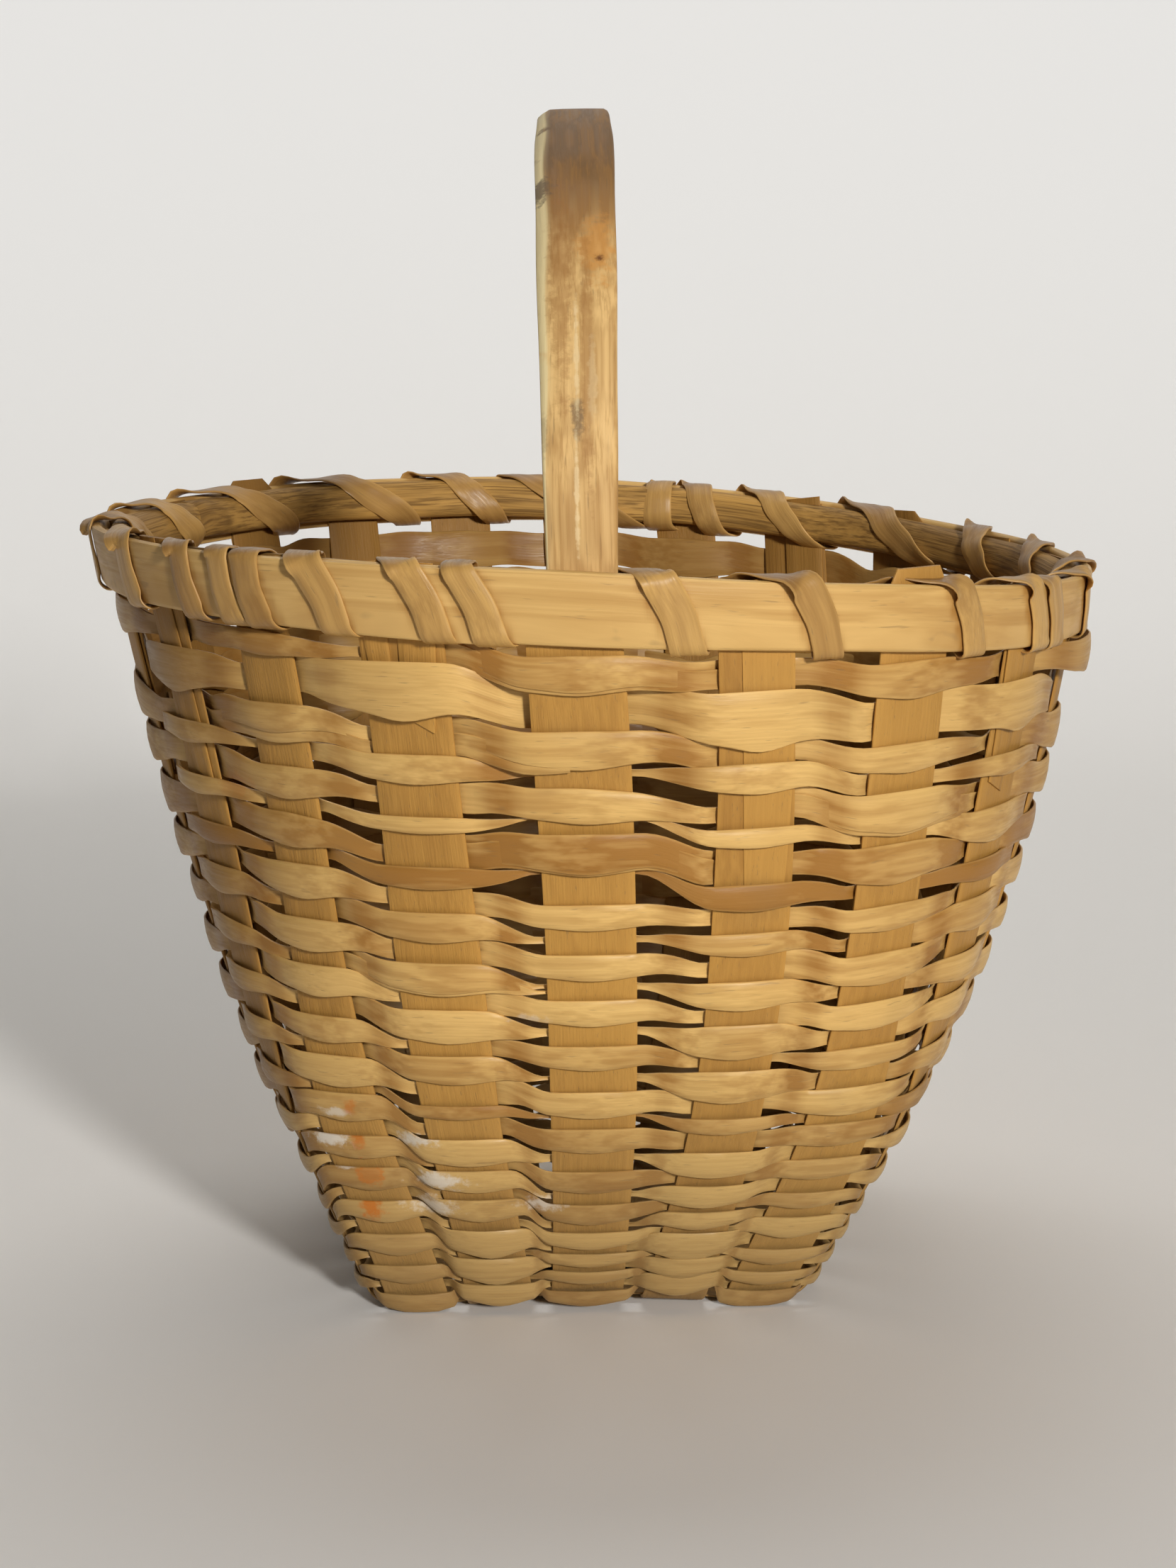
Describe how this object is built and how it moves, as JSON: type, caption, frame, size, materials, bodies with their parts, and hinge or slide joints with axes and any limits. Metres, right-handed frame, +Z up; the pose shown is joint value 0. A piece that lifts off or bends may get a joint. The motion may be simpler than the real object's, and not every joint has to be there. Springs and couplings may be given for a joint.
{
  "type": "gathering basket",
  "caption": "Woven ash-splint gathering basket: square plaited bottom, round lashed rim, flared wall and a fixed bow handle.",
  "frame": {"origin": "straight under the rim's centre, on the surface that the basket stands on", "axes": "+Z up, +X to the right as seen from the front, +Y to the back; the handle's bow lies in the YZ plane"},
  "size_m": [0.2915, 0.2906, 0.3343],
  "materials": {
    "splint": "bare split ash, dull and a little brown",
    "weaver": "bare split ash, golden with a slight sheen",
    "hoop": "bare shaved ash, pale gold",
    "inner_hoop": "bare shaved ash, weathered grey-brown",
    "lashing": "thin split ash, slight sheen",
    "handle": "bare shaved ash, handled smooth"
  },
  "bodies": {
    "root": {"base_splint_front_back_1": "splint", "base_splint_front_back_2": "splint", "base_splint_front_back_3": "splint", "base_splint_front_back_4": "splint", "base_splint_front_back_5": "splint", "base_splint_side_side_1": "splint", "base_splint_side_side_2": "splint", "base_splint_side_side_3": "splint", "base_splint_side_side_4": "splint", "base_splint_side_side_5": "splint", "weaver_row_01": "weaver", "weaver_row_02": "weaver", "weaver_row_03": "weaver", "weaver_row_04": "weaver", "weaver_row_05": "weaver", "weaver_row_06": "weaver", "weaver_row_07": "weaver", "weaver_row_08": "weaver", "weaver_row_09": "weaver", "weaver_row_10": "weaver", "weaver_row_11": "weaver", "weaver_row_12": "weaver", "weaver_row_13": "weaver", "weaver_row_14": "weaver", "weaver_row_15": "weaver", "weaver_row_16": "weaver", "weaver_row_17": "weaver", "weaver_row_18": "weaver", "weaver_row_19": "weaver", "weaver_row_20": "weaver", "weaver_row_21": "weaver", "weaver_row_22": "weaver", "weaver_row_23": "weaver", "weaver_row_24": "weaver", "weaver_row_25": "weaver", "weaver_row_26": "weaver", "weaver_row_27": "weaver", "weaver_row_28": "weaver", "weaver_row_29": "weaver", "weaver_row_30": "weaver", "rim_outer_hoop": "hoop", "rim_inner_hoop": "inner_hoop", "rim_lashing": "lashing", "bow_handle": "handle"}
  },
  "joints": []
}
